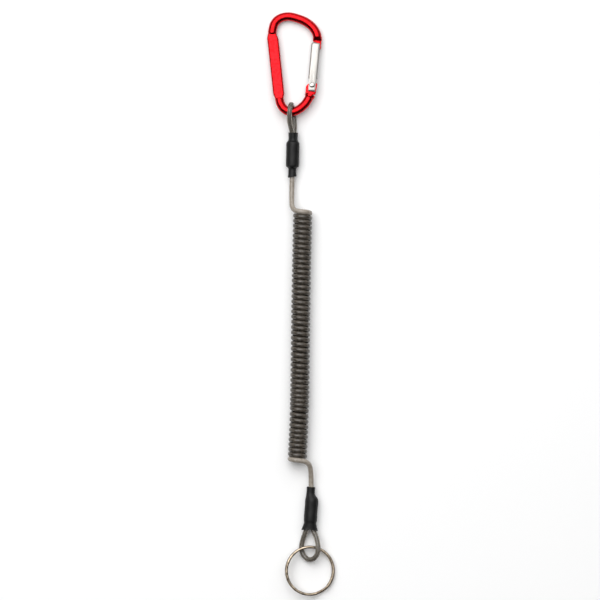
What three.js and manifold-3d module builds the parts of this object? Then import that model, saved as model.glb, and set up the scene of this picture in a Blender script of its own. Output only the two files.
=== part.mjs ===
// Coiled tool lanyard: a snap-link carabiner, a coiled cord and a split ring.
// Millimetres, +Z up. It lies on its side on a table at z = 0, the carabiner towards +Y.
import * as THREE from 'three';
import { mergeVertices } from 'three/addons/utils/BufferGeometryUtils.js';
import Module from 'manifold-3d';

const wasm = await Module();
wasm.setup();

// Driving dimensions
const GAP = 0.3;                 // between pieces that touch
const CORD_D = 2.9;              // jacket of the wire cord
const CORD_R = CORD_D / 2;
const ROD_D = 5.0;               // carabiner rod
const ROD_R = ROD_D / 2;
const PANEL_W = 6.6;             // pressed flat spine, across
const PANEL_T = 3.6;             // and through
const BAR = new THREE.Vector3(-5.7, 110.7, 0);   // lowest point of the carabiner's lower bow
const LOOP_R = ROD_R + CORD_R + 0.45;            // the upper loop's bend round that bow
const BAR_Z = CORD_R + LOOP_R + 0.1;
const CARABINER_H = 55.4;        // from the lower bow's axis to the upper bow's
const TILT = Math.asin((BAR_Z - ROD_R) / CARABINER_H);
const COIL_R = 5.6;              // outside of the coil
const SLEEVE_R = 3.8;            // heat-shrink over the ferrule
const SLEEVE_WALL = 0.35;
const FERRULE_R = SLEEVE_R - SLEEVE_WALL - GAP;
const FERRULE_L = 12;
const GATE_W = 5.2;
const GATE_T = 4.7;
const GATE_FLAT = 3.9;           // width of its flat front and back
const TONGUE_T = 1.7;            // both tongues of the body
const GATE_SLOT = TONGUE_T + 2 * GAP;
const RIVET_R = 0.8;
const RING_R = 13.7;             // mean radius of the split ring
const RING_WIRE = { radial: 1.6, axial: 1.3 };
const RING_PITCH = 1.4;
const RING_TILT = THREE.MathUtils.degToRad(9.5);
const RING_CENTRE = new THREE.Vector3(5.05, -154.1, 3.87);

const ORIGIN = new THREE.Vector3(0.145, 0.075, 0);   // puts the hard parts' box over the origin

// Helpers
const v3 = (x, y, z = 0) => new THREE.Vector3(x, y, z);

function finish(name, color, roughness, metalness) {
  return new THREE.MeshStandardMaterial({ name, color, roughness, metalness });
}

const RED = finish('red_anodised', 0xf03438, 0.3, 0.9);
const SILVER = finish('bare_aluminium', 0xe8e7e4, 0.35, 0.9);
const STEEL = finish('steel', 0xb5b3af, 0.3, 1);
const JACKET = finish('clear_jacket', 0x8b847a, 0.35, 0);
const COIL = finish('coiled_cord', 0x4b4740, 0.4, 0);
const SHRINK = finish('heat_shrink', 0x1c1c1d, 0.55, 0);
const NICKEL = finish('nickel', 0xd9cfc0, 0.15, 1);

function named(name, geometry, material) {
  const mesh = new THREE.Mesh(geometry, material);
  mesh.name = name;
  return mesh;
}

function clean(geometry) {
  const bare = geometry.clone();
  bare.deleteAttribute('normal');
  bare.deleteAttribute('uv');
  return mergeVertices(bare, 1e-4);
}

function solid(geometry) {
  const bare = clean(geometry);
  return new wasm.Manifold(new wasm.Mesh({
    numProp: 3,
    vertProperties: new Float32Array(bare.attributes.position.array),
    triVerts: new Uint32Array(bare.index.array),
  }));
}

function fromSolid(manifold) {
  const mesh = manifold.getMesh();
  const geometry = new THREE.BufferGeometry();
  geometry.setAttribute('position', new THREE.BufferAttribute(mesh.vertProperties, 3));
  geometry.setIndex(new THREE.BufferAttribute(mesh.triVerts, 1));
  geometry.computeVertexNormals();
  return geometry;
}

function ellipse(a, b, sides) {
  const points = [];
  for (let i = 0; i < sides; i += 1) {
    const t = (i / sides) * 2 * Math.PI;
    points.push(new THREE.Vector2(a * Math.cos(t), b * Math.sin(t)));
  }
  return new THREE.Shape(points);
}

function tube(points, radius, sides, steps) {
  const path = new THREE.CatmullRomCurve3(points, false, 'centripetal');
  return new THREE.ExtrudeGeometry(ellipse(radius, radius, sides), { extrudePath: path, steps });
}

function plate(outline, thickness) {
  const shape = new THREE.Shape(outline.map(([x, y]) => new THREE.Vector2(x, y)));
  const geometry = new THREE.ExtrudeGeometry(shape, { depth: thickness, bevelEnabled: false });
  return geometry.translate(0, 0, -thickness / 2);
}

function box(width, length, height, x, y, z = 0) {
  return new THREE.BoxGeometry(width, length, height).translate(x, y, z);
}

// Moves each vertex of a geometry by a function of its place
function reshape(geometry, move) {
  const at = geometry.attributes.position;
  const p = new THREE.Vector3();
  for (let i = 0; i < at.count; i += 1) {
    p.fromBufferAttribute(at, i);
    move(p);
    at.setXYZ(i, p.x, p.y, p.z);
  }
  return geometry;
}

// Carabiner body, in its own plane: x across, y up from the lower bow's lowest point
const SPINE_TOP = v3(-10.95, 45.8);
const SPINE_FOOT = v3(-6.85, 7.5);
const SHOULDER = 3.6;            // length over which the rod widens into the panel
const RIVET = v3(12.1, 15.4);
const GATE_ANGLE = THREE.MathUtils.degToRad(-5.0);   // gate's lean from upright
const NOSE = v3(15.1, 40.9);     // end of the round rod above the gate
const FOOT = v3(11.1, 10.2);     // end of the round rod below the gate
const FOOT_COLLAR_R = 3.0;
const FOOT_LEAN = Math.atan2(0.75, 1.6);         // of the rod's end there, from upright
const SWAGE_L = 3.0;             // length over which the nose is flattened to its tongue

function rodPath() {
  return [
    FOOT, v3(9.6, 7.0), v3(7.8, 4.4), v3(3.9, 1.2), v3(0, 0), v3(-3.8, 1.5), v3(-6.1, 4.6),
    SPINE_FOOT, v3(-7.55, 14.0), v3(-8.9, 26.6), v3(-10.3, 39.7), SPINE_TOP,
    v3(-10.6, 48.3), v3(-9.6, 51.4), v3(-6.9, 54.1), v3(-2.0, 55.4), v3(5.3, 53.7),
    v3(9.3, 51.7), v3(12.6, 48.8), v3(14.5, 45.6), v3(15.05, 43.4), NOSE,
  ];
}

// How far a point of the spine is pressed flat: 0 on the round rod, 1 on the panel
function pressed(p) {
  if (p.x > 0) return 0;
  const fromEnd = Math.min(p.y - SPINE_FOOT.y, SPINE_TOP.y - p.y);
  return THREE.MathUtils.smoothstep(fromEnd, 0, SHOULDER);
}

function pressSpine(p) {
  const share = pressed(p);
  if (share === 0) return;
  const t = (p.y - SPINE_FOOT.y) / (SPINE_TOP.y - SPINE_FOOT.y);
  const centre = THREE.MathUtils.lerp(SPINE_FOOT.x, SPINE_TOP.x, t);
  const across = (p.x - centre) / ROD_R;
  const through = p.z / ROD_R;
  const flat = THREE.MathUtils.clamp(through * 1.6, -1, 1) * PANEL_T / 2;
  p.x = centre + THREE.MathUtils.lerp(across * ROD_R, across * PANEL_W / 2, share);
  p.z = THREE.MathUtils.lerp(p.z, flat, share);
}

function swageNose(p) {
  if (p.x < 0 || p.y < RIVET.y) return;
  const share = 1 - THREE.MathUtils.smoothstep(p.y, NOSE.y, NOSE.y + SWAGE_L);
  p.z *= 1 - 0.5 * share;
  p.x = NOSE.x + (p.x - NOSE.x) * (1 + 0.06 * share);
}

function carabinerBody() {
  const rod = reshape(tube(rodPath(), ROD_R, 16, 110), (p) => {
    pressSpine(p);
    swageNose(p);
  });
  const foot = plate([
    [FOOT.x - 3.1, FOOT.y - 0.6], [FOOT.x + 2.9, FOOT.y - 0.2], [FOOT.x + 4.0, FOOT.y + 5.9],
    [RIVET.x + 1.6, RIVET.y + 1.9], [RIVET.x - 1.4, RIVET.y + 1.9], [FOOT.x - 2.6, FOOT.y + 4.7],
  ], TONGUE_T);
  const nose = plate([
    [NOSE.x - 2.3, NOSE.y + 0.6], [NOSE.x + 2.3, NOSE.y + 0.6], [NOSE.x + 2.1, NOSE.y - 4.0],
    [NOSE.x + 1.3, NOSE.y - 5.2], [NOSE.x - 0.2, NOSE.y - 5.2], [NOSE.x - 0.7, NOSE.y - 4.4],
    [NOSE.x - 0.6, NOSE.y - 0.35], [NOSE.x - 2.3, NOSE.y - 0.35],
  ], TONGUE_T);
  const collarProfile = [[0, -2.8], [ROD_R - 0.05, -2.8], [FOOT_COLLAR_R, -1.7], [FOOT_COLLAR_R, 0], [0, 0]]
    .map(([x, y]) => new THREE.Vector2(x, y));
  const footCollar = new THREE.LatheGeometry(collarProfile, 24).rotateZ(-FOOT_LEAN)
    .translate(FOOT.x, FOOT.y, 0);
  const bore = new THREE.CylinderGeometry(RIVET_R + GAP / 2, RIVET_R + GAP / 2, ROD_D, 20)
    .rotateX(Math.PI / 2).translate(RIVET.x, RIVET.y, 0);
  const whole = solid(rod).add(solid(foot)).add(solid(nose))
    .add(solid(footCollar)).subtract(solid(bore));
  return named('carabiner_body', fromSolid(whole), RED);
}

// Gate, in its own frame: y from the rivet towards the tip
const GATE_TIP = 24.8;
const GATE_HEEL = -3.8;
const HEEL_SLOT = 4.2;
const FORK_TOP = 4.0;            // below it the bar's rounded sides are milled off
const TIP_SLOT = 17.6;
const TIP_WALL = 1.0;            // left of the tip's slot, on the inner side
const BORE_R = 1.15;
const BORE_END = 13.5;

function gateBar() {
  const half = GATE_W / 2;
  const flat = GATE_FLAT / 2;
  const side = GATE_T / 2;
  const section = new THREE.Shape();
  section.moveTo(-flat, -side);
  section.lineTo(flat, -side);
  section.quadraticCurveTo(half, -side, half, 0);
  section.quadraticCurveTo(half, side, flat, side);
  section.lineTo(-flat, side);
  section.quadraticCurveTo(-half, side, -half, 0);
  section.quadraticCurveTo(-half, -side, -flat, -side);
  const length = GATE_TIP - GATE_HEEL;
  const bar = new THREE.ExtrudeGeometry(section, { depth: length, bevelEnabled: false, curveSegments: 5 })
    .rotateX(-Math.PI / 2).translate(0, GATE_HEEL, 0);
  const heel = box(GATE_W + 2, HEEL_SLOT - GATE_HEEL + 2, GATE_SLOT, 0, (HEEL_SLOT + GATE_HEEL) / 2 - 1);
  const tip = box(GATE_W, GATE_TIP - TIP_SLOT + 2, GATE_SLOT, TIP_WALL, (GATE_TIP + TIP_SLOT) / 2 + 1);
  const bore = new THREE.CylinderGeometry(BORE_R, BORE_R, BORE_END - HEEL_SLOT + 1, 16)
    .translate(0, (BORE_END + HEEL_SLOT - 1) / 2, 0);
  const pin = new THREE.CylinderGeometry(RIVET_R + GAP / 2, RIVET_R + GAP / 2, GATE_T + 2, 20)
    .rotateX(Math.PI / 2);
  const milled = [-1, 1].map((hand) => box(2, FORK_TOP - GATE_HEEL + 2, GATE_T + 2,
    hand * (flat + 1.1), (FORK_TOP + GATE_HEEL) / 2 - 1));
  const whole = [heel, tip, bore, pin, ...milled]
    .reduce((left, cutter) => left.subtract(solid(cutter)), solid(bar));
  return named('gate_bar', fromSolid(whole), SILVER);
}

function gateRivet() {
  const head = 1.55;
  const dome = 0.6;
  const inner = GATE_T / 2 + GAP / 2;
  const profile = [[0, -inner - dome], [head * 0.6, -inner - dome * 0.8], [head, -inner],
    [RIVET_R, -inner], [RIVET_R, inner], [head, inner], [head * 0.6, inner + dome * 0.8],
    [0, inner + dome]].map(([x, y]) => new THREE.Vector2(x, y));
  const rivet = new THREE.LatheGeometry(profile, 20).rotateX(Math.PI / 2);
  return named('gate_rivet', rivet, STEEL);
}

// The plunger presses on the body's foot tongue, the spring behind it on the bore's end
const PLUNGER = { radius: 0.85, from: 2.25, to: 5.6 };
const SPRING = { radius: 0.78, wire: 0.16, from: 5.95, to: 13.1, turns: 7 };

function gatePlunger() {
  const { radius, from, to } = PLUNGER;
  const profile = [[0, from], [radius * 0.6, from + 0.15], [radius, from + 0.6], [radius, to], [0, to]]
    .map(([x, y]) => new THREE.Vector2(x, y));
  return named('gate_plunger', new THREE.LatheGeometry(profile, 16), STEEL);
}

function gateSpring() {
  const points = [];
  const perTurn = 10;
  for (let i = 0; i <= SPRING.turns * perTurn; i += 1) {
    const t = (i / perTurn) * 2 * Math.PI;
    const rise = SPRING.from + SPRING.wire
      + ((SPRING.to - SPRING.from - 2 * SPRING.wire) * i) / (SPRING.turns * perTurn);
    points.push(v3(SPRING.radius * Math.cos(t), rise, SPRING.radius * Math.sin(t)));
  }
  return named('gate_spring', tube(points, SPRING.wire, 6, SPRING.turns * perTurn), STEEL);
}

function carabiner() {
  const group = new THREE.Group();
  group.position.set(BAR.x, BAR.y, BAR_Z);
  group.rotation.x = -TILT;
  const hinge = new THREE.Group();
  hinge.position.copy(RIVET);
  hinge.rotation.z = GATE_ANGLE;
  hinge.add(gateBar(), gateRivet(), gatePlunger(), gateSpring());
  group.add(carabinerBody(), hinge);
  return group;
}

// Sleeves: along their own +Y, the ferrule in the middle
function sleeveProfile(outer) {
  const inner = outer.map(([r, y]) => [r - SLEEVE_WALL, y]).reverse();
  const closed = [...outer, ...inner, outer[0]];
  return closed.map(([r, y]) => new THREE.Vector2(r, y));
}

const UPPER_SLEEVE = {
  at: v3(-4.85, 86.4, 4.1),
  lean: THREE.MathUtils.degToRad(-1.4),
  top: 12.4,
  foot: -13.2,
};
const LOWER_SLEEVE = {
  at: v3(5.8, -118.4, SLEEVE_R),
  lean: THREE.MathUtils.degToRad(-4.2),
  top: 12.6,
  foot: -12.4,
};

function upperSleeve() {
  const { top, foot } = UPPER_SLEEVE;
  const outer = [[2.5, foot], [2.35, foot + 5.0], [SLEEVE_R, -6.7], [SLEEVE_R, 6.7],
    [2.75, 8.0], [2.85, top]];
  const lathe = new THREE.LatheGeometry(sleeveProfile(outer), 24);
  return reshape(lathe, (p) => {
    p.z *= 1 + 0.42 * THREE.MathUtils.smoothstep(p.y, 6.7, 8.0);
  });
}

function lowerSleeve() {
  const { top, foot } = LOWER_SLEEVE;
  const outer = [[4.25, foot], [3.75, -8.1], [SLEEVE_R, -6.7], [SLEEVE_R, 5.6], [2.5, 8.6], [2.4, top]];
  const lathe = new THREE.LatheGeometry(sleeveProfile(outer), 24);
  const collarShift = -1.0;
  return reshape(lathe, (p) => {
    p.x += collarShift * THREE.MathUtils.smoothstep(p.y, 5.6, 9.0);
    const flare = THREE.MathUtils.smoothstep(-p.y, 7.5, -foot);
    p.z *= 1 - 0.2 * flare;
    p.x *= 1 + 0.12 * flare;
  });
}

function ferrule() {
  const chamfer = 0.5;
  const half = FERRULE_L / 2;
  const profile = [[0, -half], [FERRULE_R - chamfer, -half], [FERRULE_R, -half + chamfer],
    [FERRULE_R, half - chamfer], [FERRULE_R - chamfer, half], [0, half]]
    .map(([x, y]) => new THREE.Vector2(x, y));
  return new THREE.LatheGeometry(profile, 20);
}

function crimp(name, place, sleeve) {
  const group = new THREE.Group();
  group.position.copy(place.at);
  group.rotation.z = place.lean;
  group.add(named(`${name}_sleeve`, sleeve, SHRINK), named(`${name}_ferrule`, ferrule(), SILVER));
  return group;
}

// The cord's route, from the upper loop to the lower one
function upperLoop() {
  const x = BAR.x;
  const y = BAR.y;
  const bend = [];
  for (let i = 0; i <= 6; i += 1) {
    const t = -Math.PI / 2 + (i / 6) * Math.PI;
    bend.push(v3(x + 1.0 - 0.32 * i, y + LOOP_R * Math.cos(t), BAR_Z + LOOP_R * Math.sin(t)));
  }
  const route = [v3(-4.15, 92.9, 2.7), v3(-4.1, 96.5, 2.7), v3(-4.0, 99.6, 2.75), v3(-3.9, 104.5, 1.95),
    ...bend, v3(-6.7, 105.4, 9.1), v3(-6.0, 102.0, 7.0), v3(-5.3, 99.4, 5.6), v3(-5.1, 96.5, 5.5),
    v3(-5.15, 92.9, 5.5)];
  return tube(route, CORD_R, 8, 34);
}

function upperLead() {
  const route = [v3(-5.0, 79.9, 4.0), v3(-5.2, 73.0, 4.0), v3(-5.35, 66.0, 4.1), v3(-5.4, 60.0, 4.9),
    v3(-5.1, 56.2, 6.6), v3(-3.6, 54.0, 8.4), v3(-0.9, 53.3, 9.6), v3(2.0, 53.0, 9.7),
    v3(4.6, 52.9, 8.4)];
  return tube(route, CORD_R, 8, 20);
}

function coil() {
  const axis = [v3(0.9, 51.0, COIL_R), v3(-0.1, 2.2, COIL_R), v3(-1.0, -60.0, COIL_R),
    v3(-2.2, -87.2, COIL_R)];
  return tube(axis, COIL_R, 16, 14);
}

function lowerLead() {
  const route = [v3(-6.4, -89.3, 8.2), v3(-4.3, -89.7, 9.5), v3(-1.2, -90.1, 9.7), v3(2.2, -90.9, 8.9),
    v3(4.7, -93.0, 7.4), v3(5.55, -96.8, 5.6), v3(5.75, -100.8, 4.3), v3(5.75, -105.5, 3.8),
    v3(5.6, -109.0, 3.8), v3(5.6, -111.9, 3.8)];
  return tube(route, CORD_R, 8, 20);
}

function lowerLoop() {
  const route = [v3(3.72, -124.9, 3.8), v3(3.6, -127.3, 3.8), v3(2.75, -131.0, 3.6),
    v3(1.0, -136.3, 2.1), v3(0.2, -141.0, 1.5), v3(1.1, -144.7, 1.65), v3(3.0, -147.0, 2.4),
    v3(5.1, -147.7, 3.7), v3(7.2, -147.0, 5.1), v3(9.1, -144.7, 6.2), v3(9.8, -141.0, 6.6),
    v3(9.0, -135.6, 5.7), v3(7.25, -131.0, 4.1), v3(6.72, -127.3, 3.8), v3(6.82, -124.9, 3.8)];
  return tube(route, CORD_R, 8, 36);
}

// Split ring: two turns of one wire, with a step from the first turn to the second
function splitRing() {
  const perTurn = 40;
  const step = THREE.MathUtils.degToRad(26);
  const total = 4 * Math.PI - step - THREE.MathUtils.degToRad(8);
  const count = Math.round((perTurn * total) / (2 * Math.PI));
  const points = [];
  for (let i = 0; i <= count; i += 1) {
    const t = (i / count) * total;
    const rise = THREE.MathUtils.smoothstep(t, 2 * Math.PI - step, 2 * Math.PI - 0.03) - 0.5;
    points.push(v3(RING_R * Math.cos(t), RING_R * Math.sin(t), RING_PITCH * rise));
  }
  const path = new THREE.CatmullRomCurve3(points);
  const section = ellipse(RING_WIRE.axial / 2, RING_WIRE.radial / 2, 8);
  const ring = new THREE.ExtrudeGeometry(section, { extrudePath: path, steps: count });
  ring.rotateZ(THREE.MathUtils.degToRad(-40)).rotateY(RING_TILT);
  const mesh = named('split_ring', ring, NICKEL);
  mesh.position.copy(RING_CENTRE);
  return mesh;
}

const group = new THREE.Group();
group.position.copy(ORIGIN);
group.add(
  carabiner(),
  named('upper_loop', upperLoop(), JACKET),
  crimp('upper', UPPER_SLEEVE, upperSleeve()),
  named('upper_lead', upperLead(), JACKET),
  named('coil', coil(), COIL),
  named('lower_lead', lowerLead(), JACKET),
  crimp('lower', LOWER_SLEEVE, lowerSleeve()),
  named('lower_loop', lowerLoop(), JACKET),
  splitRing(),
);

export default group;
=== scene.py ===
"""A coiled tool lanyard lying on a table: its carabiner, coated wire cord, sleeves and split ring."""
import math

import bmesh
import bpy
from mathutils import Matrix, Vector
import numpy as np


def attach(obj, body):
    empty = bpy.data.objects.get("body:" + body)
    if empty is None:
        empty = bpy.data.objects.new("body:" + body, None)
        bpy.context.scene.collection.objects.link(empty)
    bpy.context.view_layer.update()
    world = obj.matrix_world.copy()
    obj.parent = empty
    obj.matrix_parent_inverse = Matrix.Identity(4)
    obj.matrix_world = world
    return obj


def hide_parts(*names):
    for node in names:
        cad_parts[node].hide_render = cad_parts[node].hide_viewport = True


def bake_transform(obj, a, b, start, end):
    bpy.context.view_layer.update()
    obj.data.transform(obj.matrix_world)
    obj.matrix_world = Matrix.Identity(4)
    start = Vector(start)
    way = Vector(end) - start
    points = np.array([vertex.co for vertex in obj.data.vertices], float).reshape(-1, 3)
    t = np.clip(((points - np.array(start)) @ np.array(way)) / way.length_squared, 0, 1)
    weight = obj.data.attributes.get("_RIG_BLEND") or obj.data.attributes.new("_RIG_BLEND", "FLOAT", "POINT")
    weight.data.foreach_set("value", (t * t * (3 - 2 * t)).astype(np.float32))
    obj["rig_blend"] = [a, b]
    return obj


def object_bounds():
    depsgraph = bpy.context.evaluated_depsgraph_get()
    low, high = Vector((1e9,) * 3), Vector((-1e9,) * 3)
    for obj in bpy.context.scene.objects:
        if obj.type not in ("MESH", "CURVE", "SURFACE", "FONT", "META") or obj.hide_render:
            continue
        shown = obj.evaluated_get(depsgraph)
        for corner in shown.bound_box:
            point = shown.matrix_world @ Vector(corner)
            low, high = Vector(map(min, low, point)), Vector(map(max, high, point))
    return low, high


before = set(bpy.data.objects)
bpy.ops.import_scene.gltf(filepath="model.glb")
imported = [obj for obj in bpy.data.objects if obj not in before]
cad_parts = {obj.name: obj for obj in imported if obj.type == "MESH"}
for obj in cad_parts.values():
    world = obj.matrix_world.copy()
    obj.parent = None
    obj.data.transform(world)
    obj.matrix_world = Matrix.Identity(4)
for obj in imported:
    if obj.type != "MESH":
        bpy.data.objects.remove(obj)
cad_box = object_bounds()

MM = 0.001
ORIGIN = Vector((0.145, 0.075, 0.0))

# The design's own sizes, in millimetres
CORD_R = 1.45
CORD_SIDES = 16
CORE_R = 0.75
CORE_SIDES = 8
ROUTE_STEP = 0.5
ROD_R = 2.5
BAR = Vector((-5.7, 110.7, 5.95))
LOOP_R = 4.4
TILT = math.asin((BAR.z - ROD_R) / 55.4)
PANEL_W = 6.6
PANEL_T = 3.6
PANEL_STEP = 0.9
PANEL_WIDENING = 3.6
SPINE_TOP = Vector((-10.95, 45.8, 0))
SPINE_FOOT = Vector((-6.85, 7.5, 0))
NOSE = Vector((15.1, 40.9, 0))
FOOT = Vector((11.1, 10.2, 0))
FOOT_COLLAR_R = 3.0
FOOT_LEAN = math.atan2(0.75, 1.6)
SWAGE_L = 3.0
RIVET = Vector((12.1, 15.4, 0))
RIVET_R = 0.8
RIVET_HEAD_R = 1.55
RIVET_DOME = 0.6
RIVET_BORE_R = 0.95
GATE_LEAN = math.radians(-5.0)
GATE_W, GATE_T = 5.2, 4.7
GATE_HEEL, GATE_TIP = -3.8, 24.8
GATE_EDGE = 1.05
FORK_TOP = 4.0
FORK_W = 4.1
HEEL_SLOT_TOP = 4.2
TIP_SLOT_FOOT = 17.6
SPRING_BORE_R = 1.15
SPRING_BORE = (3.2, 13.5)
SPRING = (6.1, 12.95)
SPRING_R = 0.78
SPRING_TURNS = 7
TONGUE_T = 1.7
SLOT_T = 2.3
SLEEVE_R = 3.8
SLEEVE_WALL = 0.35
COIL_R = 5.6
TURN_R = COIL_R - CORD_R
TURNS = 49
TURN_STEPS = 28
RING_R = 13.7
RING_WIRE = (0.8, 0.65)
RING_PITCH = 1.4
RING_STEP = math.radians(26)
RING_END_GAP = math.radians(8)
RING_TILT = math.radians(9.5)
RING_CENTRE = Vector((5.05, -154.1, 3.87))


# ---------------------------------------------------------------- helpers
def smooth(value, low, high):
    t = min(1.0, max(0.0, (value - low) / (high - low)))
    return t * t * (3 - 2 * t)


def deselect():
    if bpy.context.mode != "OBJECT":
        bpy.ops.object.mode_set(mode="OBJECT")
    bpy.ops.object.select_all(action="DESELECT")


def only(piece):
    deselect()
    piece.select_set(True)
    bpy.context.view_layer.objects.active = piece


def placed(piece, matrix):
    """Puts a piece modelled in millimetres in its own place, with the place in its mesh."""
    piece.data.transform(Matrix.Scale(MM, 4) @ Matrix.Translation(ORIGIN) @ matrix)
    piece.data.update()
    return piece


def carabiner_place():
    return Matrix.Translation(BAR) @ Matrix.Rotation(-TILT, 4, "X")


def gate_place():
    return carabiner_place() @ Matrix.Translation(RIVET) @ Matrix.Rotation(GATE_LEAN, 4, "Z")


def catmull(points, spacing):
    """A centripetal Catmull-Rom curve through the points, as points about spacing apart."""
    p = [Vector(q) for q in points]
    p = [p[0] * 2 - p[1], *p, p[-1] * 2 - p[-2]]
    line = []
    for a, b, c, d in zip(p, p[1:], p[2:], p[3:]):
        t = [0.0]
        for u, v in ((a, b), (b, c), (c, d)):
            t.append(t[-1] + max((v - u).length, 1e-6) ** 0.5)
        count = max(1, round((c - b).length / spacing))
        for i in range(count):
            x = t[1] + (t[2] - t[1]) * i / count
            a1 = a.lerp(b, (x - t[0]) / (t[1] - t[0]))
            a2 = b.lerp(c, (x - t[1]) / (t[2] - t[1]))
            a3 = c.lerp(d, (x - t[2]) / (t[3] - t[2]))
            b1 = a1.lerp(a2, (x - t[0]) / (t[2] - t[0]))
            b2 = a2.lerp(a3, (x - t[1]) / (t[3] - t[1]))
            line.append(b1.lerp(b2, (x - t[1]) / (t[2] - t[1])))
    return [*line, p[-2].copy()]


def tube(name, line, section, normal=None):
    """A closed tube round a line. section is a list of (along the side, along the normal)."""
    bm = bmesh.new()
    side = Vector((1, 0, 0))
    rings = []
    for i, point in enumerate(line):
        ahead = line[min(i + 1, len(line) - 1)] - line[max(i - 1, 0)]
        ahead.normalize()
        if normal is not None:
            side = normal.cross(ahead)
        elif i == 0:
            side = ahead.orthogonal()
        side = (side - ahead * side.dot(ahead)).normalized()
        up = ahead.cross(side)
        rings.append([bm.verts.new(point + side * a + up * b) for a, b in section])
    for low, high in zip(rings, rings[1:]):
        for i in range(len(section)):
            j = (i + 1) % len(section)
            bm.faces.new((low[i], low[j], high[j], high[i]))
    bm.faces.new(list(reversed(rings[0])))
    bm.faces.new(rings[-1])
    bmesh.ops.recalc_face_normals(bm, faces=bm.faces)
    mesh = bpy.data.meshes.new(name)
    bm.to_mesh(mesh)
    bm.free()
    piece = bpy.data.objects.new(name, mesh)
    bpy.context.scene.collection.objects.link(piece)
    mesh.shade_smooth()
    return piece


def circle(radius, sides):
    turn = 2 * math.pi / sides
    return [(radius * math.cos(i * turn), radius * math.sin(i * turn)) for i in range(sides)]


def spun(name, profile, segments):
    """A shape turned about Y from a profile of (radius, y), closed on itself or on the axis."""
    deselect()
    mesh = bpy.data.meshes.new(name)
    edges = [(i, i + 1) for i in range(len(profile) - 1)]
    mesh.from_pydata([(r, y, 0) for r, y in profile], edges, [])
    piece = bpy.data.objects.new(name, mesh)
    bpy.context.scene.collection.objects.link(piece)
    only(piece)
    bpy.ops.object.mode_set(mode="EDIT")
    bpy.ops.mesh.select_all(action="SELECT")
    bpy.ops.mesh.spin(steps=segments, angle=2 * math.pi, center=(0, 0, 0), axis=(0, 1, 0))
    bpy.ops.mesh.select_all(action="SELECT")
    bpy.ops.mesh.remove_doubles(threshold=0.002)
    bpy.ops.mesh.normals_make_consistent(inside=False)
    bpy.ops.object.mode_set(mode="OBJECT")
    return piece


def block(name, size, centre):
    deselect()
    bpy.ops.mesh.primitive_cube_add(size=1, location=(0, 0, 0))
    piece = bpy.context.active_object
    piece.name = name
    piece.data.transform(Matrix.Translation(centre) @ Matrix.Diagonal((*size, 1)))
    return piece


def cylinder(name, radius, depth, centre, turn=None):
    deselect()
    bpy.ops.mesh.primitive_cylinder_add(vertices=48, radius=radius, depth=depth)
    piece = bpy.context.active_object
    piece.name = name
    piece.data.transform(Matrix.Translation(centre) @ (turn or Matrix.Identity(4)))
    return piece


def plate(name, outline, thickness):
    """A flat plate from an outline of (x, y), face up."""
    deselect()
    mesh = bpy.data.meshes.new(name)
    mesh.from_pydata([(x, y, -thickness / 2) for x, y in outline], [], [range(len(outline))])
    piece = bpy.data.objects.new(name, mesh)
    bpy.context.scene.collection.objects.link(piece)
    only(piece)
    bpy.ops.object.mode_set(mode="EDIT")
    bpy.ops.mesh.select_all(action="SELECT")
    bpy.ops.mesh.extrude_region_move(TRANSFORM_OT_translate={"value": (0, 0, thickness)})
    bpy.ops.mesh.select_all(action="SELECT")
    bpy.ops.mesh.normals_make_consistent(inside=False)
    bpy.ops.object.mode_set(mode="OBJECT")
    return piece


def modified(piece, kind, **settings):
    only(piece)
    modifier = piece.modifiers.new(kind, kind)
    for key, value in settings.items():
        setattr(modifier, key, value)
    bpy.ops.object.modifier_apply(modifier=modifier.name)
    return piece


def joined(piece, other, operation):
    modified(piece, "BOOLEAN", object=other, operation=operation, solver="EXACT")
    bpy.data.objects.remove(other)
    return piece


def eased(piece, width, segments=3, angle=35):
    """Breaks every sharp edge by a small round, and shades the rest smooth."""
    modified(piece, "BEVEL", width=width, segments=segments, limit_method="ANGLE",
             angle_limit=math.radians(angle), harden_normals=False)
    only(piece)
    bpy.ops.object.shade_smooth_by_angle(angle=math.radians(angle))
    return piece


# ---------------------------------------------------------------- materials
def linear(code):
    """An sRGB hex colour as linear RGBA."""
    out = []
    for i in (1, 3, 5):
        c = int(code[i:i + 2], 16) / 255
        out.append(c / 12.92 if c <= 0.04045 else ((c + 0.055) / 1.055) ** 2.4)
    return (*out, 1.0)


def node(tree, kind, links=(), stops=(), **settings):
    """Adds a node with its settings, a ramp's (place, colour) stops, and (input, socket) links."""
    made = tree.nodes.new(kind)
    for key, value in settings.items():
        label = key.replace("_", " ")
        if label in made.inputs:
            made.inputs[label].default_value = value
        else:
            setattr(made, key, value)
    for i, (place, colour) in enumerate(stops):
        made.color_ramp.elements[i].position = place
        made.color_ramp.elements[i].color = linear(colour)
    for name, socket in links:
        tree.links.new(socket, made.inputs[name])
    return made


def material(name, **settings):
    made = bpy.data.materials.new(name)
    made.use_nodes = True
    tree = made.node_tree
    shader = tree.nodes["Principled BSDF"]
    for key, value in settings.items():
        shader.inputs[key.replace("_", " ")].default_value = value
    return made, tree, shader


def grain(tree, size_mm, stretch=(1, 1, 1)):
    """A cloudy pattern with a grain of size_mm, in the piece's own coordinates."""
    where = node(tree, "ShaderNodeTexCoord")
    scaled = node(tree, "ShaderNodeMapping", [("Vector", where.outputs["Object"])], Scale=stretch)
    noise = node(tree, "ShaderNodeTexNoise", [("Vector", scaled.outputs["Vector"])],
                 Scale=1 / (size_mm * MM), Detail=3.0)
    return noise.outputs["Fac"]


def toned(tree, pattern, dark, light):
    """A colour that goes from dark to light over the middle third of a pattern."""
    ramp = node(tree, "ShaderNodeValToRGB", [("Fac", pattern)], stops=[(0.35, dark), (0.65, light)])
    return ramp.outputs["Color"]


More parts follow.
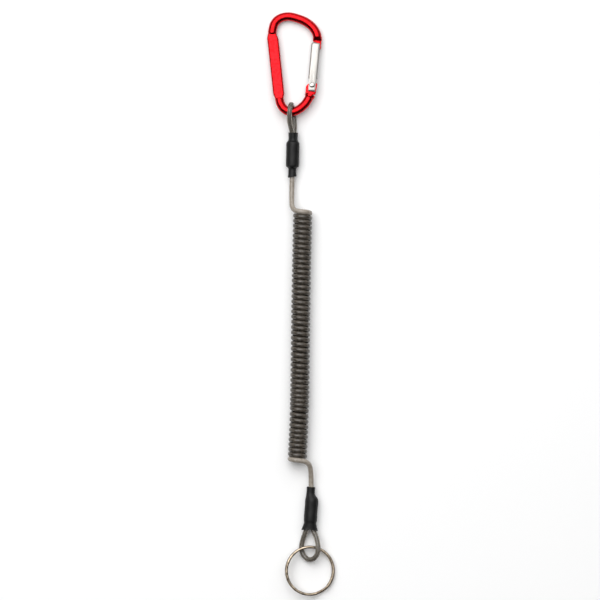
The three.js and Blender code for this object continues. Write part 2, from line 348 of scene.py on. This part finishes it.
def finished(tree, shader, colour, pattern, polish, relief, height_mm):
    """Gives a surface its colour, lets a pattern vary its polish, and raises a relief on it."""
    tree.links.new(colour, shader.inputs["Base Color"])
    if polish:
        low, high = polish
        rough = node(tree, "ShaderNodeMapRange", [("Value", pattern)], To_Min=low, To_Max=high)
        tree.links.new(rough.outputs["Result"], shader.inputs["Roughness"])
    skin = node(tree, "ShaderNodeBump", [("Height", relief)], Strength=1.0, Distance=height_mm * MM)
    tree.links.new(skin.outputs["Normal"], shader.inputs["Normal"])


def red_anodised():
    # Anodised aluminium, drawn rod: dyed clear oxide over bright metal, so its highlights are red
    made, tree, shader = material("red_anodised_aluminium", Metallic=1.0)
    mottle = grain(tree, 1.2)
    colour = toned(tree, mottle, "#BB1318", "#CB1D22")
    finished(tree, shader, colour, mottle, (0.22, 0.34), grain(tree, 0.18), 0.006)
    return made


def bare_aluminium():
    # Tumbled bare aluminium, extruded bar: pale satin, with faint drawn lines along its length
    made, tree, shader = material("tumbled_aluminium", Metallic=0.85)
    lines = grain(tree, 0.25, stretch=(1, 0.06, 1))
    colour = toned(tree, lines, "#A09D99", "#B6B3AF")
    finished(tree, shader, colour, lines, (0.3, 0.45), lines, 0.01)
    return made


def bright_steel():
    # Plated steel pin, headed cold: bright, with a slightly uneven dome
    made, tree, shader = material("plated_steel", Metallic=1.0)
    tone = grain(tree, 0.6)
    colour = toned(tree, tone, "#A9A5A0", "#D5D2CD")
    finished(tree, shader, colour, tone, (0.16, 0.28), tone, 0.01)
    return made


def nickel():
    # Bright nickel plate on spring wire: a warm mirror, with soft waves left by the winding in its relief;
    # its colour goes from dark brown to cream in soft patches, painted dark and bright reflections over the
    # nickel's own warm tone
    made, tree, shader = material("nickel_plate", Metallic=1.0)
    tone = grain(tree, 2.5)
    # dark brown to cream: the nickel's warm tone with painted reflections
    colour = toned(tree, tone, "#6B5E50", "#BFB09C")
    finished(tree, shader, colour, tone, (0.05, 0.12), grain(tree, 1.0), 0.01)
    return made


def heat_shrink():
    # Polyolefin heat-shrink: charcoal black, satin, with a faint orange-peel skin
    made, tree, shader = material("black_heat_shrink", Specular_IOR_Level=0.3)
    skin = grain(tree, 0.35)
    colour = toned(tree, skin, "#080809", "#101011")
    finished(tree, shader, colour, skin, (0.42, 0.58), skin, 0.03)
    return made


def clear_jacket(name, dark, light, clear, painted_coil_shade=None):
    # Extruded smoky TPU: glossy and half clear, so the wire rope inside darkens its middle
    made, tree, shader = material(name, IOR=1.5, Transmission_Weight=clear)
    cloud = grain(tree, 1.6)
    colour = toned(tree, cloud, dark, light)
    if painted_coil_shade:
        # the turns are painted darker than the straight ends: painted shade for the turns seen through one
        # another
        where = node(tree, "ShaderNodeAttribute", attribute_name="painted_coil_shade")
        coil_shade_colour = toned(tree, cloud, *painted_coil_shade)
        mixed = node(tree, "ShaderNodeMix", data_type="RGBA")
        tree.links.new(where.outputs["Fac"], mixed.inputs["Factor"])
        tree.links.new(colour, mixed.inputs[6])
        tree.links.new(coil_shade_colour, mixed.inputs[7])
        colour = mixed.outputs[2]
    finished(tree, shader, colour, cloud, (0.16, 0.3), grain(tree, 0.5), 0.012)
    return made


def wire_rope():
    # Stainless wire rope seen through its jacket: near black, the strands' lay as fine noise
    made, tree, shader = material("wire_rope_core", Metallic=0.7, Roughness=0.4)
    strands = grain(tree, 0.4)
    finished(tree, shader, toned(tree, strands, "#0D0B0A", "#26221E"), strands, None, strands, 0.05)
    return made


FINISHES = {
    "red_anodised": red_anodised(),
    "bare_aluminium": bare_aluminium(),
    "steel": bright_steel(),
    "nickel": nickel(),
    "heat_shrink": heat_shrink(),
    "clear_jacket": clear_jacket("smoky_jacket", "#B2A99C", "#CAC1B4", 0.78),
    # the coiled cord's jacket: its straight ends in their own colour, its turns in painted shade
    "coiled_cord": clear_jacket("smoky_jacket_painted_coil_shade", "#8F867B", "#A89F94", 0.1,
                                 ("#3A352F", "#575048")),
    "core": wire_rope(),
}


def dressed(piece, finish, body, slot, *nodes):
    piece.data.materials.clear()
    piece.data.materials.append(FINISHES[finish])
    if body:
        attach(piece, body)
    if nodes:
        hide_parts(*nodes)
    return piece


# ---------------------------------------------------------------- the camera
def camera():
    """Looks straight down at the table from far off, so that hardly any side is seen."""
    distance = 2.5
    framed_width = 0.3462
    sensor = 36
    data = bpy.data.cameras.new("camera")
    data.sensor_width = sensor
    data.lens = sensor * (distance - COIL_R * MM) / framed_width
    data.clip_end = 10
    made = bpy.data.objects.new("camera", data)
    made.location = (-0.0005, 0.0023, distance)
    bpy.context.scene.collection.objects.link(made)
    bpy.context.scene.camera = made


# ---------------------------------------------------------------- the cord
UPPER_LEAD = [(-5.0, 79.9, 4.0), (-5.2, 73.0, 4.0), (-5.35, 66.0, 4.1), (-5.4, 60.0, 4.9),
              (-5.1, 56.2, 6.6), (-3.6, 54.0, 8.4), (-0.9, 53.3, 9.6)]
LOWER_LEAD = [(2.2, -90.9, 8.9), (4.7, -93.0, 7.4), (5.55, -96.8, 5.6), (5.75, -100.8, 4.3),
              (5.75, -105.5, 3.8), (5.6, -109.0, 3.8), (5.6, -111.9, 3.8)]
COIL_AXIS = [(0.9, 53.1, COIL_R), (-0.1, 2.2, COIL_R), (-1.0, -60.0, COIL_R), (-2.2, -90.1, COIL_R)]
LOWER_LOOP = [(3.72, -124.9, 3.8), (3.6, -127.3, 3.8), (2.75, -131.0, 3.6), (1.0, -136.3, 2.1),
              (0.2, -141.0, 1.5), (1.1, -144.7, 1.65), (3.0, -147.0, 2.4), (5.1, -147.7, 3.7),
              (7.2, -147.0, 5.1), (9.1, -144.7, 6.2), (9.8, -141.0, 6.6), (9.0, -135.6, 5.7),
              (7.25, -131.0, 4.1), (6.72, -127.3, 3.8), (6.82, -124.9, 3.8)]


def upper_loop_route():
    bend = []
    for i in range(7):
        t = -math.pi / 2 + i / 6 * math.pi
        bend.append((BAR.x + 1.0 - 0.32 * i, BAR.y + LOOP_R * math.cos(t),
                     BAR.z + LOOP_R * math.sin(t)))
    return [(-4.15, 92.9, 2.7), (-4.1, 96.5, 2.7), (-4.0, 99.6, 2.75), (-3.9, 104.5, 1.95), *bend,
            (-6.7, 105.4, 9.1), (-6.0, 102.0, 7.0), (-5.3, 99.4, 5.6), (-5.1, 96.5, 5.5),
            (-5.15, 92.9, 5.5)]


def coil_turns():
    """The coil's centreline: left-handed turns side by side round a slightly bowed axis."""
    axis = catmull(COIL_AXIS, ROUTE_STEP)
    line = []
    for i in range(TURNS * TURN_STEPS + 1):
        share = i / (TURNS * TURN_STEPS)
        place = share * (len(axis) - 1)
        low = min(int(place), len(axis) - 2)
        centre = axis[low].lerp(axis[low + 1], place - low)
        t = 2 * math.pi * i / TURN_STEPS
        line.append(centre + Vector((TURN_R * math.sin(t), 0, TURN_R * math.cos(t))))
    return line


def jacket_and_core(name, line):
    jacket = placed(tube(name, line, circle(CORD_R, CORD_SIDES)), Matrix.Identity(4))
    core = placed(tube(name + "_core", line[1:-1], circle(CORE_R, CORE_SIDES)), Matrix.Identity(4))
    return jacket, core


def loop(name, route, node_name, body):
    line = catmull(route, ROUTE_STEP)
    jacket, core = jacket_and_core(name, line)
    dressed(jacket, "clear_jacket", body, "clear_jacket", node_name)
    dressed(core, "core", body, "steel")


def share_stretch(piece, sides, first, last):
    """Moves each ring of the tube as one, by an even share of the stretch, so none is smeared."""
    weights = piece.data.attributes["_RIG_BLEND"].data
    for i in range(len(weights)):
        ring = i // sides
        weights[i].value = min(1.0, max(0.0, (ring - first) / (last - first)))


def coiled_cord():
    """The cord from the upper ferrule to the lower one, in one length with its coil."""
    turns = coil_turns()
    above = catmull([*UPPER_LEAD, turns[0]], ROUTE_STEP)[:-1]
    below = catmull([turns[-1], *LOWER_LEAD], ROUTE_STEP)[1:]
    line = [*above, *turns, *below]
    jacket, core = jacket_and_core("coiled_cord", line)
    dressed(jacket, "coiled_cord", None, "coiled_cord", "upper_lead", "coil", "lower_lead")
    dressed(core, "core", None, "steel")
    # marks the turns for the painted shade, which fades in over the first turn and out over the last
    shade = jacket.data.attributes.new("painted_coil_shade", "FLOAT", "POINT").data
    fade = (4, 24)
    for i, value in enumerate(shade):
        ring = i // CORD_SIDES - len(above)
        value.value = smooth(ring, *fade) * smooth(len(turns) - ring, *fade)
    start = (0, line[len(above)].y * MM, 0)
    end = (0, line[len(above) + len(turns)].y * MM, 0)
    for piece, sides, skipped in ((jacket, CORD_SIDES, 0), (core, CORE_SIDES, 1)):
        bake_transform(piece, "upper_cord", "lower_cord", start=start, end=end)
        first = len(above) - skipped
        share_stretch(piece, sides, first, first + len(turns) - 1)


# ---------------------------------------------------------------- the sleeves
def sleeve_profile(outer):
    inner = [(r - SLEEVE_WALL, y) for r, y in reversed(outer)]
    return [*outer, *inner, outer[0]]


def sleeve(name, outer, shape, place, node_name, body):
    rounded = [tuple(p)[:2] for p in catmull([(r, y, 0) for r, y in outer], 0.35)]
    piece = spun(name, sleeve_profile(rounded), 56)
    for vertex in piece.data.vertices:
        shape(vertex.co)
    placed(piece, place)
    only(piece)
    bpy.ops.object.shade_smooth_by_angle(angle=math.radians(50))
    return dressed(piece, "heat_shrink", body, "heat_shrink", node_name)


def dent(p, depth):
    """Slow hand-shrunk unevenness, worked out from the place alone."""
    turn = math.atan2(p.z, p.x)
    push = 1 + depth * (math.sin(3 * turn + p.y * 0.8) + 0.6 * math.sin(5 * turn - p.y * 1.3))
    p.x *= push
    p.z *= push


def upper_sleeve():
    foot, top = -13.2, 12.4
    outer = [(2.5, foot), (2.3, foot + 2.6), (2.4, foot + 5.0), (3.7, -7.0), (SLEEVE_R, -6.2),
             (SLEEVE_R, 0), (SLEEVE_R, 5.9), (3.7, 6.6), (2.75, 8.0), (2.7, 10.5), (2.85, top)]

    def shape(p):
        dent(p, 0.008)
        # its top is taller, over the two strands of the loop, and its foot is cut at a slant
        p.z *= 1 + 0.42 * smooth(p.y, 6.7, 8.0)
        if p.y < foot + 2:
            p.y += 0.18 * p.x

    place = Matrix.Translation((-4.85, 86.4, 4.1)) @ Matrix.Rotation(math.radians(-1.4), 4, "Z")
    sleeve("upper_shrink", outer, shape, place, "upper_sleeve", "upper_cord")


def lower_sleeve():
    foot, top = -12.4, 12.6
    outer = [(4.25, foot), (3.8, foot + 2.2), (3.56, -8.1), (SLEEVE_R, -6.7), (SLEEVE_R, 0),
             (SLEEVE_R, 5.0), (3.6, 6.0), (2.5, 8.6), (2.4, 10.6), (2.5, top)]

    def shape(p):
        dent(p, 0.008)
        # its neck follows the cord to one side, and its foot is wide, low and notched
        p.x -= smooth(p.y, 5.6, 9.0)
        flare = smooth(-p.y, 7.5, -foot)
        p.z *= 1 - 0.2 * flare
        p.x *= 1 + 0.12 * flare
        if p.y < foot + 0.6:
            p.y += 0.7 * (1 - min(1.0, abs(p.x) / 4.4))

    place = Matrix.Translation((5.8, -118.4, SLEEVE_R)) @ Matrix.Rotation(math.radians(-4.2), 4, "Z")
    sleeve("lower_shrink", outer, shape, place, "lower_sleeve", "lower_cord")


# ---------------------------------------------------------------- the carabiner
def rod_route():
    return [FOOT, (9.6, 7.0, 0), (7.8, 4.4, 0), (3.9, 1.2, 0), (0, 0, 0), (-3.8, 1.5, 0),
            (-6.1, 4.6, 0), SPINE_FOOT, (-7.55, 14.0, 0), (-8.9, 26.6, 0), (-10.3, 39.7, 0),
            SPINE_TOP, (-10.6, 48.3, 0), (-9.6, 51.4, 0), (-6.9, 54.1, 0), (-2.0, 55.4, 0),
            (5.3, 53.7, 0), (9.3, 51.7, 0), (12.6, 48.8, 0), (14.5, 45.6, 0), (15.05, 43.4, 0),
            NOSE]


def press(p):
    """Presses the spine flat: a sharp step through the rod, and a slow widening across it."""
    if p.x > 0:
        return
    from_end = min(p.y - SPINE_FOOT.y, SPINE_TOP.y - p.y)
    if from_end <= 0:
        return
    t = (p.y - SPINE_FOOT.y) / (SPINE_TOP.y - SPINE_FOOT.y)
    centre = SPINE_FOOT.x + (SPINE_TOP.x - SPINE_FOOT.x) * t
    across = (p.x - centre) / ROD_R
    flat = min(1.0, max(-1.0, p.z / ROD_R * 1.6)) * PANEL_T / 2
    p.z += (flat - p.z) * smooth(from_end, 0, PANEL_STEP)
    p.x = centre + across * (ROD_R + (PANEL_W / 2 - ROD_R) * smooth(from_end, 0, PANEL_WIDENING))


def swage(p):
    """Flattens the nose of the rod to its tongue."""
    if p.x > 0 and p.y > RIVET.y:
        share = 1 - smooth(p.y, NOSE.y, NOSE.y + SWAGE_L)
        p.z *= 1 - 0.5 * share
        p.x = NOSE.x + (p.x - NOSE.x) * (1 + 0.06 * share)


def carabiner_body():
    body = tube("carabiner", catmull(rod_route(), 0.3), circle(ROD_R, 32), normal=Vector((0, 0, 1)))
    for vertex in body.data.vertices:
        press(vertex.co)
        swage(vertex.co)
    foot = plate("foot_tongue", [
        (FOOT.x - 3.1, FOOT.y - 0.6), (FOOT.x + 2.9, FOOT.y - 0.2), (FOOT.x + 4.0, FOOT.y + 5.9),
        (RIVET.x + 1.6, RIVET.y + 1.9), (RIVET.x - 1.4, RIVET.y + 1.9), (FOOT.x - 2.6, FOOT.y + 4.7),
    ], TONGUE_T)
    nose = plate("nose_tongue", [
        (NOSE.x - 2.3, NOSE.y + 0.6), (NOSE.x + 2.3, NOSE.y + 0.6), (NOSE.x + 2.1, NOSE.y - 4.0),
        (NOSE.x + 1.3, NOSE.y - 5.2), (NOSE.x - 0.2, NOSE.y - 5.2), (NOSE.x - 0.7, NOSE.y - 4.4),
        (NOSE.x - 0.6, NOSE.y - 0.35), (NOSE.x - 2.3, NOSE.y - 0.35),
    ], TONGUE_T)
    collar_foot, collar_shoulder = -2.4, -1.5
    collar = spun("foot_collar", [(0, collar_foot), (ROD_R - 0.3, collar_foot),
                                  (FOOT_COLLAR_R, collar_shoulder), (FOOT_COLLAR_R, 0), (0, 0)], 40)
    collar.data.transform(Matrix.Translation(FOOT) @ Matrix.Rotation(-FOOT_LEAN, 4, "Z"))
    for piece in (foot, nose, collar):
        eased(piece, 0.25)
        joined(body, piece, "UNION")
    joined(body, cylinder("rivet_bore", RIVET_BORE_R, 6, RIVET), "DIFFERENCE")
    only(body)
    bpy.ops.object.shade_smooth_by_angle(angle=math.radians(40))
    placed(body, carabiner_place())
    dressed(body, "red_anodised", "carabiner", "red_anodised", "carabiner_body")


def gate():
    length = GATE_TIP - GATE_HEEL
    middle = (GATE_TIP + GATE_HEEL) / 2
    bar = block("gate", (GATE_W, length, GATE_T), (0, middle, 0))
    only(bar)
    bpy.ops.object.mode_set(mode="EDIT")
    bpy.ops.mesh.select_all(action="DESELECT")
    bpy.ops.object.mode_set(mode="OBJECT")
    for edge in bar.data.edges:
        a, b = (bar.data.vertices[i].co for i in edge.vertices)
        edge.select = abs(a.y - b.y) > length / 2
    bpy.ops.object.mode_set(mode="EDIT")
    bpy.ops.mesh.select_mode(type="EDGE")
    bpy.ops.mesh.bevel(offset=GATE_EDGE, segments=3, profile=0.5)
    bpy.ops.object.mode_set(mode="OBJECT")
    heel_cut, tip_cut, side_cut = 9.7, 8.7, 9.8
    heel = block("heel_slot", (GATE_W + 2, heel_cut, SLOT_T), (0, HEEL_SLOT_TOP - heel_cut / 2, 0))
    tip = block("tip_slot", (GATE_W, tip_cut, SLOT_T), (1.0, TIP_SLOT_FOOT + tip_cut / 2, 0))
    sides = [block("milled_side", (2, side_cut, GATE_T + 2),
                   (hand * (FORK_W / 2 + 1), FORK_TOP - side_cut / 2, 0)) for hand in (-1, 1)]
    for cutter in (heel, tip, *sides):
        joined(bar, cutter, "DIFFERENCE")
    low, high = SPRING_BORE
    lengthwise = Matrix.Rotation(math.pi / 2, 4, "X")
    spring_bore = cylinder("spring_bore", SPRING_BORE_R, high - low, (0, (low + high) / 2, 0), lengthwise)
    joined(bar, spring_bore, "DIFFERENCE")
    joined(bar, cylinder("pin_bore", RIVET_BORE_R, 8, (0, 0, 0)), "DIFFERENCE")
    eased(bar, 0.18)
    placed(bar, gate_place())
    dressed(bar, "bare_aluminium", "gate", "bare_aluminium", "gate_bar")


def gate_spring():
    """The spring in the gate's bore: its near end goes with the plunger, and its far end stays."""
    near, far = SPRING
    steps = 16
    line = []
    for i in range(SPRING_TURNS * steps + 1):
        t = 2 * math.pi * i / steps
        rise = near + (far - near) * i / (SPRING_TURNS * steps)
        line.append(Vector((SPRING_R * math.cos(t), rise, SPRING_R * math.sin(t))))
    piece = placed(tube("spring", line, circle(0.15, 8)), gate_place())
    dressed(piece, "steel", None, "steel", "gate_spring")
    ends = [(gate_place() @ Vector((0, y, 0)) + ORIGIN) * MM for y in (near, far)]
    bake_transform(piece, "plunger", "gate", start=ends[0], end=ends[1])


def rivet():
    """The gate's pin, with a domed head on either side of the gate."""
    inner = GATE_T / 2 + 0.15
    rim = 0.02
    head = [(RIVET_R, inner), (RIVET_HEAD_R, inner)]
    for degrees in range(0, 90, 10):
        a = math.radians(degrees)
        rise = (RIVET_DOME - rim) * math.sin(a)
        head.append((RIVET_HEAD_R * math.cos(a), inner + rise + rim))
    head.append((0, inner + RIVET_DOME))
    profile = [*[(r, -y) for r, y in reversed(head)], *head]
    piece = spun("rivet", profile, 40)
    piece.data.transform(Matrix.Rotation(math.pi / 2, 4, "X"))
    placed(piece, gate_place())
    only(piece)
    bpy.ops.object.shade_smooth_by_angle(angle=math.radians(40))
    dressed(piece, "steel", "carabiner", "steel", "gate_rivet")


# ---------------------------------------------------------------- the split ring
def split_ring():
    """Two turns of one wire, with a step from the first turn to the second."""
    per_turn = 160
    total = 4 * math.pi - RING_STEP - RING_END_GAP
    count = round(per_turn * total / (2 * math.pi))
    line = []
    for i in range(count + 1):
        t = i / count * total
        rise = smooth(t, 2 * math.pi - RING_STEP, 2 * math.pi - 0.03) - 0.5
        line.append(Vector((RING_R * math.cos(t), RING_R * math.sin(t), RING_PITCH * rise)))
    # the wire's section is oval and slightly squared
    section = []
    for corner in circle(1, 16):
        section.append([half * math.copysign(abs(c) ** 0.9, c) for half, c in zip(RING_WIRE, corner)])
    ring = tube("ring", line, section, normal=Vector((0, 0, 1)))
    turn = Matrix.Rotation(RING_TILT, 4, "Y") @ Matrix.Rotation(math.radians(-40), 4, "Z")
    placed(ring, Matrix.Translation(RING_CENTRE) @ turn)
    only(ring)
    bpy.ops.object.shade_smooth_by_angle(angle=math.radians(60))
    dressed(ring, "nickel", "split_ring", "nickel", "split_ring")


def inner_pieces():
    """The pieces that stay as the frame has them, inside the gate and the sleeves."""
    finishes = {"gate_plunger": "steel", "upper_ferrule": "bare_aluminium",
                "lower_ferrule": "bare_aluminium"}
    for name, finish in finishes.items():
        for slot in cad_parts[name].material_slots:
            slot.material = FINISHES[finish]


# ---------------------------------------------------------------- the studio
def table():
    deselect()
    bpy.ops.mesh.primitive_plane_add(size=4, location=(0, 0, cad_box[0][2]))
    floor = bpy.context.active_object
    floor.name = "table"
    paint = material("pale_table", Base_Color=linear("#FAFAFA"), Roughness=0.9)[0]
    floor.data.materials.append(paint)


def lamp(name, place, size, power):
    data = bpy.data.lights.new(name, "AREA")
    data.shape = "RECTANGLE"
    data.size, data.size_y = size
    data.energy = power
    made = bpy.data.objects.new(name, data)
    made.location = place
    aim = Vector((0, 0, 0)) - Vector(place)
    made.rotation_euler = aim.to_track_quat("-Z", "Y").to_euler()
    bpy.context.scene.collection.objects.link(made)


def surroundings():
    """A bright ceiling over a dark room, so that metal and plastic have dark edges to mirror."""
    world = bpy.data.worlds.new("studio")
    bpy.context.scene.world = world
    world.use_nodes = True
    tree = world.node_tree
    where = node(tree, "ShaderNodeTexCoord")
    axes = node(tree, "ShaderNodeSeparateXYZ", [("Vector", where.outputs["Generated"])])
    across = node(tree, "ShaderNodeMath", [(0, axes.outputs["Y"])], operation="MULTIPLY")
    across.inputs[1].default_value = 0.55
    height = node(tree, "ShaderNodeMath", [(0, axes.outputs["Z"]), (2, across.outputs["Value"])],
                  operation="MULTIPLY_ADD")
    height.inputs[1].default_value = 0.9
    sky = node(tree, "ShaderNodeValToRGB", [("Fac", height.outputs["Value"])],
               stops=[(0.58, "#060505"), (0.78, "#FFFFFF")])
    background = tree.nodes["Background"]
    tree.links.new(sky.outputs["Color"], background.inputs["Color"])
    background.inputs["Strength"].default_value = 1.2


def studio():
    bpy.context.scene.view_settings.view_transform = "Standard"
    table()
    lamp("overhead_softbox", (-0.3, 0.5, 1.2), (1.5, 1.1), 13)
    surroundings()


camera()
loop("upper_eye", upper_loop_route(), "upper_loop", "upper_cord")
loop("lower_eye", LOWER_LOOP, "lower_loop", "lower_cord")
coiled_cord()
upper_sleeve()
lower_sleeve()
carabiner_body()
gate()
gate_spring()
rivet()
split_ring()
inner_pieces()
studio()
